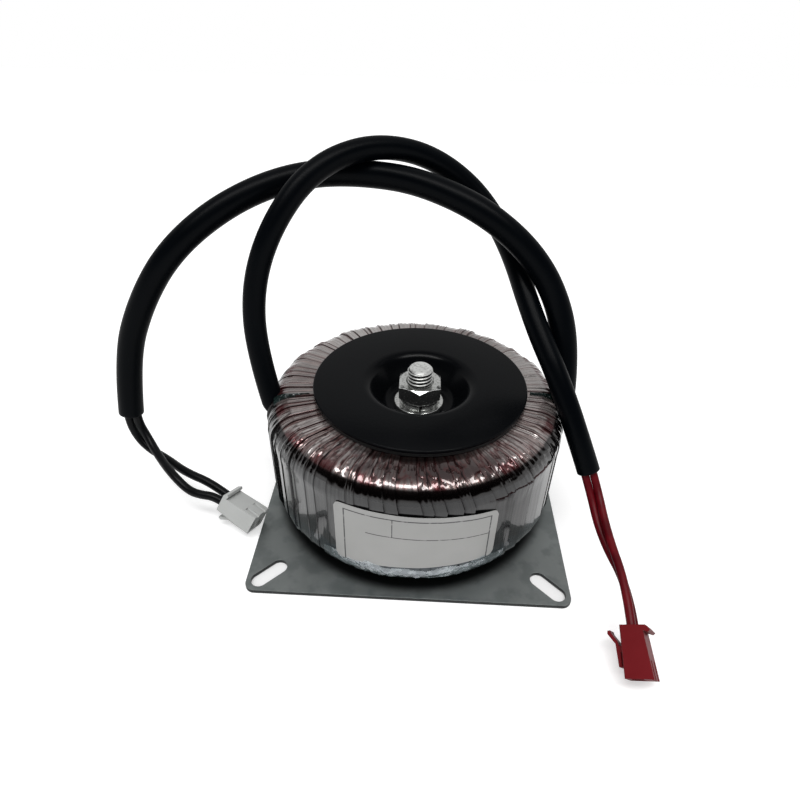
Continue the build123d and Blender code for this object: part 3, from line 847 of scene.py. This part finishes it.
# Clamping disc and pads
def powder_material():
    made, g = material("disc_powder_coat")
    patch = g.noise(40, 3)
    colour = g.mix(patch, (0.0013, 0.0016, 0.0021), (0.0027, 0.0031, 0.0038))
    g.surface({
        "Base Color": colour,
        "Roughness": g.blend(patch, 0.20, 0.26),
        "Specular IOR Level": 0.095,
        "Normal": g.bump(g.noise(700, 3), 0.04 * MM, 0.25),
    })
    return made


def rubber_material():
    made, g = material("pad_rubber")
    grain = g.noise(1400, 4)
    colour = g.mix(grain, (0.003, 0.003, 0.003), (0.009, 0.009, 0.010))
    g.surface({"Base Color": colour, "Roughness": 0.72, "Normal": g.bump(grain, 0.1 * MM, 0.5)})
    return made


CLAMP = ((DISC_LO.x + DISC_HI.x) / 2, 0.0)
DISC_TOP = DISC_HI.z
DISC_T = 1.05 * MM
LIP_R = 16.2 * MM
LIP_BEND = 4.0 * MM
FLOOR_BEND = 3.0 * MM
DISH_DEPTH = 8.85 * MM
DISH_SLOPE = radians(60)
DISH_FLOOR = DISC_TOP - DISH_DEPTH
FLOOR_R = LIP_R - DISH_DEPTH / tan(DISH_SLOPE)
HOLE_R = 4.25 * MM


def disc():
    aside = DISC_T * tan(DISH_SLOPE / 2)
    line = rounded([
        (DISC_R, DISC_TOP, 0.4 * MM),
        (LIP_R, DISC_TOP, LIP_BEND),
        (FLOOR_R, DISH_FLOOR, FLOOR_BEND),
        (HOLE_R, DISH_FLOOR, 0.1 * MM),
        (HOLE_R, DISH_FLOOR - DISC_T, 0.1 * MM),
        (FLOOR_R + aside, DISH_FLOOR - DISC_T, FLOOR_BEND + DISC_T),
        (LIP_R + aside, DISC_TOP - DISC_T, LIP_BEND - DISC_T),
        (DISC_R, DISC_TOP - DISC_T, 0.2 * MM),
    ], 12)
    lathe("disc_plate", line, CLAMP, powder_material(), 240, slot="disc", replaces=("top_disc",))


disc()
RUBBER = rubber_material()
for pad in ("bottom_pad", "top_pad"):
    frame["nodes"][pad].data.materials.clear()
    frame["nodes"][pad].data.materials.append(RUBBER)


# Hardware
def zinc_material(name, metallic, rough):
    made, g = material(name)
    patch = g.noise(260, 4)
    fine = g.noise(2600, 2)
    colour = g.mix(patch, (0.66, 0.67, 0.65), (0.92, 0.93, 0.91))
    dull = g.times(g.step(g.noise(1100, 3), 0.48, 0.68), 0.55)
    colour = g.mix(dull, colour, (0.30, 0.30, 0.29))
    # Painted shade: near black in the bolt thread's roots.
    colour = g.mix(g.step(g.value("root"), 0.15, 0.60), colour, (0.022, 0.022, 0.021))
    g.surface({
        "Base Color": colour,
        "Metallic": metallic,
        "Roughness": g.blend(patch, rough, rough + 0.12),
        "Normal": g.bump(fine, 0.03 * MM, 0.3),
    })
    return made


ZINC = zinc_material("zinc_plating", 0.97, 0.12)
SATIN_ZINC = zinc_material("satin_zinc_plating", 0.62, 0.34)
WASHER_LO, WASHER_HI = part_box("flat_washer")
SPRING_LO, SPRING_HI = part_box("spring_washer")
NUT_LO, NUT_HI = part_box("hex_nut")
BOLT_LO, BOLT_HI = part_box("clamp_bolt")
FLATS = 13.0 * MM
BORE_R = 4.0 * MM
BOLT_R = 3.98 * MM
PITCH = 1.25 * MM
THREAD_DEEP = 0.62 * MM
HEAD_TOP = 5.5 * MM
SHANK_TOP = 20 * MM
BOLT_BEVEL = 0.85 * MM
BOLT_AXIS_R = 0.4 * MM
BOLT_TIP_R = 0.05 * MM
# Cones that cut a hexagon's corners: where they start, as a share of half the flats, and their slope
CONE_START = 0.965
CONE_SLOPE = radians(30)


def washer():
    radius = (WASHER_HI.x - WASHER_LO.x) / 2
    centre = ((WASHER_LO.x + WASHER_HI.x) / 2, (WASHER_LO.y + WASHER_HI.y) / 2)
    line = rounded([
        (radius, WASHER_HI.z, 0.35 * MM),
        (4.2 * MM, WASHER_HI.z, 0.15 * MM),
        (4.2 * MM, WASHER_LO.z, 0.1 * MM),
        (radius, WASHER_LO.z, 0.1 * MM),
    ], 5)
    lathe("washer_plate", line, centre, ZINC, 120, slot="fastener", replaces=("flat_washer",))


def spring():
    """Square-section turn that is split at the front, one end a little proud of the other."""
    outer = 6.4 * MM
    inner = 4.12 * MM
    low = SPRING_LO.z
    high = SPRING_HI.z
    gap = radians(7)
    split = radians(-87)
    ring = rounded([
        (outer, high - 0.15 * MM, 0.2 * MM),
        (inner, high - 0.15 * MM, 0.2 * MM),
        (inner, low + 0.01 * MM, 0.2 * MM),
        (outer, low + 0.01 * MM, 0.2 * MM),
    ], 4)
    turns = 120
    points = []
    for k in range(turns + 1):
        a = split + gap / 2 + (2 * pi - gap) * k / turns
        for across, up in ring:
            skew = 0.35 * (up - low) / (high - low) * radians(12) * (1 if k in (0, turns) else 0)
            lift = 0.14 * MM * k / turns
            turn = a + skew
            points.append((CLAMP[0] + across * cos(turn), across * sin(turn), up + lift))
    count = len(ring)
    faces = grid_faces(turns + 1, count, close_columns=True)
    faces.append(tuple(range(count)))
    faces.append(tuple(turns * count + k for k in reversed(range(count))))
    piece("spring_turn", points, faces, ZINC, "fastener", ("spring_washer",), 40)


def hexagon(low, high, bore, cone_low, cone_high):
    """Points and faces of a hexagon with its corners cut by cones. A corner faces the label."""
    columns = 12 * 16
    flat = FLATS / 2
    cut = flat * CONE_START
    edge = 0.12 * MM
    low_bevel = 0.4 * MM if cone_low else 0
    high_bevel = 0.45 * MM if cone_high else 0
    points = []
    profiles = []
    for k in range(columns):
        a = 2 * pi * k / columns
        nearest = (a + pi / 6) % (pi / 3) - pi / 6
        side = flat / cos(nearest)
        drop = max(0.0, side - cut) * tan(CONE_SLOPE)
        inside = min(side, cut)
        low_drop = drop if cone_low else 0
        high_drop = drop if cone_high else 0
        profiles.append([
            (bore, low + low_bevel),
            (bore + low_bevel, low),
            (inside if cone_low else side, low),
            (side - edge * 0.5, low + low_drop),
            (side, low + low_drop + edge),
            (side, high - high_drop - edge),
            (side - edge * 0.5, high - high_drop),
            (inside if cone_high else side - edge, high),
            (bore + high_bevel, high),
            (bore, high - high_bevel),
        ])
    for row in range(10):
        for k in range(columns):
            a = 2 * pi * k / columns
            across, up = profiles[k][row]
            points.append((CLAMP[0] + across * cos(a), across * sin(a), up))
    return points, grid_faces(10, columns, True, True)


def nut():
    points, faces = hexagon(NUT_LO.z, NUT_HI.z, BORE_R, True, True)
    piece("nut_body", points, faces, ZINC, "fastener", ("hex_nut",), 18)


def bolt():
    """Head, plain shank and a helical thread up to the bevelled end."""
    points, faces = hexagon(BOLT_LO.z, HEAD_TOP, BOLT_AXIS_R, True, False)
    columns = 72
    start = len(points)
    painted_root_shade = [0.0] * start
    rows = [(BOLT_AXIS_R, HEAD_TOP), (BOLT_R, HEAD_TOP), (BOLT_R, SHANK_TOP)]
    low = SPRING_LO.z - 1.5 * MM
    high = BOLT_HI.z
    steps = 230
    levels = [low + (high - low) * k / steps for k in range(steps + 1)]
    for across, up in rows:
        for k in range(columns):
            a = 2 * pi * k / columns
            points.append((CLAMP[0] + across * cos(a), across * sin(a), up))
            painted_root_shade.append(0.0)
    for up in levels:
        for k in range(columns):
            a = 2 * pi * k / columns
            phase = (up / PITCH - k / columns) % 1.0
            ridge = clamp(abs(phase - 0.5) * 2.4 - 0.12)
            across = BOLT_R - THREAD_DEEP * (1 - ridge)
            # Painted shade: the thread's roots are marked for the zinc finish to darken.
            painted_root_shade.append(1 - ridge if up < high - 0.5 * MM else 0.0)
            across = min(across, BOLT_R - BOLT_BEVEL + max(0.0, high - up))
            points.append((CLAMP[0] + across * cos(a), across * sin(a), up))
    for k in range(columns):
        a = 2 * pi * k / columns
        points.append((CLAMP[0] + BOLT_TIP_R * cos(a), BOLT_TIP_R * sin(a), high - BOLT_TIP_R))
        painted_root_shade.append(0.0)
    body = grid_faces(len(rows) + len(levels) + 1, columns, close_columns=True)
    faces = list(faces) + [tuple(start + v for v in f) for f in body]
    piece("bolt_body", points, faces, SATIN_ZINC, "fastener", ("clamp_bolt",), 32, {"root": painted_root_shade})


washer()
spring()
nut()
bolt()

# Rating label: curved paper with a printed frame and rules, and no words
LABEL_LO, LABEL_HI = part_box("rating_label")
LABEL_R = RING_OUT + 0.06 * MM
LABEL_FROM = radians(-116.2)
LABEL_TO = radians(-59.3)
LABEL_LOW = LABEL_LO.z
LABEL_TOP = LABEL_HI.z
# Height of its edges from left to right: start, slope and curve
LABEL_RISE = (1.3 * MM, 1.3 * MM, -3.8 * MM)
LABEL_SAG = (-1.1 * MM, 4.6 * MM, -3.2 * MM)
LABEL_T = 0.14 * MM
LABEL_CORNER = 1.8 * MM
# Height of the label's upper edge in the millimetres that its printing is laid out in
PRINT_TOP = 20.1


def label_material():
    made, g = material("label_paper")
    across = g.value("across")
    up = g.value("up")
    fibre = g.noise(900, 4)
    cloud = g.noise(90, 3)
    paper = g.mix(cloud, (0.335, 0.335, 0.327), (0.410, 0.410, 0.400))

    def rule(distance, half):
        return g.inverse(g.step(g.math("ABSOLUTE", distance), half * 0.6, half * 1.4))

    def between(value, low, high):
        return g.times(g.math("GREATER_THAN", value, low), g.math("LESS_THAN", value, high))

    left = 3.1
    right = 44.7
    top = 18.3
    bottom = -3.0
    middle = 11.4
    divide = 16.9
    shelf_from = 9.5
    bold = 0.20
    fine = 0.15
    thin = 0.13
    wide = between(across, left - 0.15, right + 0.15)
    tall = between(up, bottom, top + 0.12)
    ink = g.times(rule(g.math("SUBTRACT", up, top), bold), wide)
    for at in (left, right):
        ink = g.math("MAXIMUM", ink, g.times(rule(g.math("SUBTRACT", across, at), bold), tall))
    shelf = g.times(rule(g.math("SUBTRACT", up, middle), fine), between(across, shelf_from, right))
    post = g.times(rule(g.math("SUBTRACT", across, divide), thin), between(up, middle, top))
    ink = g.math("MAXIMUM", ink, g.math("MAXIMUM", shelf, post))
    ink = g.times(ink, g.step(fibre, 0.2, 0.5))
    colour = g.mix(ink, paper, (0.040, 0.040, 0.042))
    g.surface({
        "Base Color": colour,
        "Roughness": 0.5,
        "Coat Weight": 0.5,
        "Coat Roughness": 0.16,
        "Normal": g.bump(g.plus(fibre, g.times(cloud, 3.0)), 0.06 * MM, 0.4),
    })
    return made


def label_edge(level, bend, share):
    """Height of the label's lower or upper edge at a share of its width."""
    return level + bend[0] + bend[1] * share + bend[2] * share**2


def label(finish):
    columns = 72
    rows = 24
    wide = LABEL_R * (LABEL_TO - LABEL_FROM)
    points = []
    across_values = []
    up_values = []
    for side in (1, 0):
        for j in range(rows + 1):
            for i in range(columns + 1):
                across = wide * i / columns
                end = min(across, wide - across)
                short = LABEL_CORNER - end
                cut = LABEL_CORNER - sqrt(max(0.0, LABEL_CORNER**2 - short**2)) if short > 0 else 0.0
                share = across / wide
                low = label_edge(LABEL_LOW, LABEL_SAG, share)
                high = label_edge(LABEL_TOP, LABEL_RISE, share)
                v = low + cut + (high - low - 2 * cut) * j / rows
                angle = LABEL_FROM + across / LABEL_R
                wave = 0.10 * MM * noise.noise(Vector((across * 170, v * 60, 3.7)))
                radius = LABEL_R + (LABEL_T if side else 0.0) + wave
                points.append((radius * cos(angle), radius * sin(angle), v))
                across_values.append(across / MM)
                up_values.append((v - high) / MM + PRINT_TOP)
    sheet = grid_faces(rows + 1, columns + 1)
    offset = (rows + 1) * (columns + 1)
    faces = list(sheet) + [tuple(offset + v for v in reversed(f)) for f in sheet]
    rim = [j * (columns + 1) for j in range(rows)]
    rim += [rows * (columns + 1) + i for i in range(columns)]
    rim += [(rows - j) * (columns + 1) + columns for j in range(rows)]
    rim += [columns - i for i in range(columns)]
    for a, b in zip(rim, rim[1:] + rim[:1]):
        faces.append((a, b, offset + b, offset + a))
    values = {"across": across_values, "up": up_values}
    piece("label_sheet", points, faces, finish, "label", ("rating_label",), 40, values)


label(label_material())


# Finishes of the frame's own pieces
def dress(names, finish):
    for name in names:
        node = frame["nodes"][name]
        node.data.materials.clear()
        node.data.materials.append(finish)


def galvanised_material():
    made, g = material("galvanised_steel")
    spangle = g.add("ShaderNodeTexVoronoi", {"Vector": g.place(), "Scale": 260.0}).outputs["Color"]
    flake = g.split(spangle)[0]
    cloud = g.noise(35, 4)
    scratch = g.noise(30, 3, g.stretched(90, 6, 6))
    mottle = g.noise(170, 3)
    colour = g.mix(cloud, (0.225, 0.245, 0.242), (0.345, 0.367, 0.362))
    colour = g.mix(g.times(g.step(mottle, 0.42, 0.62), 0.45), colour, (0.155, 0.175, 0.174))
    colour = g.mix(g.times(flake, 0.12), colour, (0.36, 0.38, 0.38))
    x, y = g.split(g.place())[:2]
    # Painted shadow: near black on the plate round the foot of the ring.
    painted_contact_shadow = g.step(g.distance(x, y), RING_OUT - 3.5 * MM, RING_OUT + 0.8 * MM)
    colour = g.mix(painted_contact_shadow, (0.022, 0.024, 0.024), colour)
    # Painted shade: the plate's upright faces are darker.
    facing = g.split(g.add("ShaderNodeNewGeometry").outputs["Normal"])[2]
    colour = g.mix(g.step(g.math("ABSOLUTE", facing), 0.35, 0.75), (0.040, 0.043, 0.043), colour)
    edge = g.add("ShaderNodeBevel", {"Radius": 0.25 * MM}, samples=4).outputs[0]
    g.surface({
        "Base Color": colour,
        "Metallic": 0.85,
        "Roughness": g.blend(g.plus(g.times(cloud, 0.7), g.times(flake, 0.3)), 0.34, 0.5),
        "Normal": g.bump(g.plus(scratch, flake), 0.02 * MM, 0.3, edge),
    })
    return made


def plastic_material(name, dark, light, rough):
    made, g = material(name)
    cloud = g.noise(220, 3)
    edge = g.add("ShaderNodeBevel", {"Radius": 0.18 * MM}, samples=4).outputs[0]
    g.surface({
        "Base Color": g.mix(cloud, dark, light),
        "Roughness": g.blend(cloud, rough, rough + 0.1),
        "Specular IOR Level": 0.13,
        "Normal": g.bump(g.noise(2200, 3), 0.03 * MM, 0.35, edge),
    })
    return made


def copper_material():
    made, g = material("enamelled_copper")
    x, y = g.split(g.place())[:2]
    turn = g.math("ARCTAN2", y, x)
    wire = g.math("SINE", g.times(turn, 280.0))
    colour = g.mix(g.step(wire, -0.9, 0.2), (0.10, 0.025, 0.012), (0.42, 0.16, 0.075))
    g.surface({
        "Base Color": colour,
        "Metallic": 0.8,
        "Roughness": 0.3,
        "Normal": g.bump(wire, 0.2 * MM, 0.6),
    })
    return made


def sheet_material(name, dark, light, metallic, rough, scale):
    made, g = material(name)
    layers = g.noise(scale, 4)
    g.surface({
        "Base Color": g.mix(layers, dark, light),
        "Metallic": metallic,
        "Roughness": g.blend(layers, rough, rough + 0.15),
        "Normal": g.bump(layers, 0.08 * MM, 0.4),
    })
    return made


dress(["base_plate"], galvanised_material())
CORE = sheet_material("core_strip", (0.20, 0.20, 0.21), (0.42, 0.42, 0.43), 1.0, 0.35, 900)
dress(["core"], CORE)
INSULATION = sheet_material("insulating_sheet", (0.30, 0.24, 0.14), (0.45, 0.38, 0.25), 0.0, 0.5, 300)
dress(["core_cap_lower", "core_cap_upper", "interwinding_film"], INSULATION)
COPPER = copper_material()
dress(["primary_winding", "secondary_winding", "primary_tails", "secondary_tails"], COPPER)
RED_NYLON = plastic_material("red_nylon", (0.128, 0.0035, 0.006), (0.165, 0.006, 0.010), 0.36)
WHITE_NYLON = plastic_material("white_nylon", (0.45, 0.46, 0.45), (0.52, 0.53, 0.52), 0.42)
dress(["red_housing"], RED_NYLON)
dress(["white_housing"], WHITE_NYLON)
CONTACT = sheet_material("tinned_contact", (0.50, 0.50, 0.48), (0.74, 0.74, 0.72), 1.0, 0.22, 900)
dress(["red_terminals", "white_terminals"], CONTACT)


# Surroundings
PLATE_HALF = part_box("base_plate")[1].x


def floor():
    made, g = material("studio_floor")
    rays = g.add("ShaderNodeLightPath").outputs
    pale = g.mix(g.noise(6, 3), (0.80, 0.80, 0.80), (0.82, 0.82, 0.82))
    lit = g.add("ShaderNodeBsdfDiffuse", {"Color": pale}).outputs[0]
    x, y = g.split(g.place())[:2]
    reach = g.math("MAXIMUM", g.math("ABSOLUTE", x), g.math("ABSOLUTE", y))
    # Painted shadow: the camera's glow on the floor is weaker under the plate, seen through its slots.
    glow_with_painted_shadow = g.blend(g.step(reach, PLATE_HALF - 1.5 * MM, PLATE_HALF - 0.5 * MM), 0.12, 0.40)
    strength = g.times(rays[0], glow_with_painted_shadow)
    glow = g.add("ShaderNodeEmission", {"Color": (1.0, 1.0, 1.0), "Strength": strength}).outputs[0]
    both = g.add("ShaderNodeAddShader")
    g.put(both.inputs[0], lit)
    g.put(both.inputs[1], glow)
    g.finish(both.outputs[0])
    half = 0.9
    low = -0.2 * MM
    corners = [(-half, -half, low), (half, -half, low), (half, half, low), (-half, half, low)]
    piece("floor", corners, [(0, 1, 2, 3)], made, stage=True)


def world():
    """White behind the object, and a studio of light and dark panels for everything else."""
    made = bpy.data.worlds.new("studio")
    made.use_nodes = True
    g = Graph(made.node_tree)
    way = g.add("ShaderNodeTexCoord").outputs["Generated"]
    y, z = g.split(way)[1:]
    rays = g.add("ShaderNodeLightPath").outputs
    horizon = g.inverse(g.step(z, 0.14, 0.30))
    overhead = g.step(z, 0.82, 0.98)
    front = g.blend(overhead, g.blend(horizon, 0.0, 0.85), 0.35)
    back = g.blend(overhead, g.blend(horizon, 0.46, 0.52), 0.50)
    mirrored = g.blend(g.step(y, -0.10, 0.25), front, back)
    soft = g.blend(g.step(z, 0.0, 0.9), 0.45, 0.75)
    light = g.blend(rays["Is Glossy Ray"], soft, mirrored)
    studio = g.add("ShaderNodeBackground", {"Color": (1.0, 1.0, 1.0), "Strength": light}).outputs[0]
    white = g.add("ShaderNodeBackground", {"Color": (1.0, 1.0, 1.0), "Strength": 1.0}).outputs[0]
    both = g.add("ShaderNodeMixShader")
    g.put(both.inputs[0], rays[0])
    g.put(both.inputs[1], studio)
    g.put(both.inputs[2], white)
    g.finish(both.outputs[0], "ShaderNodeOutputWorld")
    bpy.context.scene.world = made


def area_light(name, at, size, power, aim=(0, 0, 0.03)):
    data = bpy.data.lights.new(name, "AREA")
    data.shape = "RECTANGLE"
    data.size, data.size_y = size
    data.energy = power
    made = bpy.data.objects.new(name, data)
    made.location = at
    made.rotation_mode = "QUATERNION"
    made.rotation_quaternion = (Vector(aim) - Vector(at)).to_track_quat("-Z", "Y")
    made.visible_camera = False
    bpy.context.scene.collection.objects.link(made)


floor()
world()
area_light("overhead_strip", (0.0, -0.50, 1.78), (1.7, 0.42), 19)

bpy.context.scene.view_settings.view_transform = "Standard"
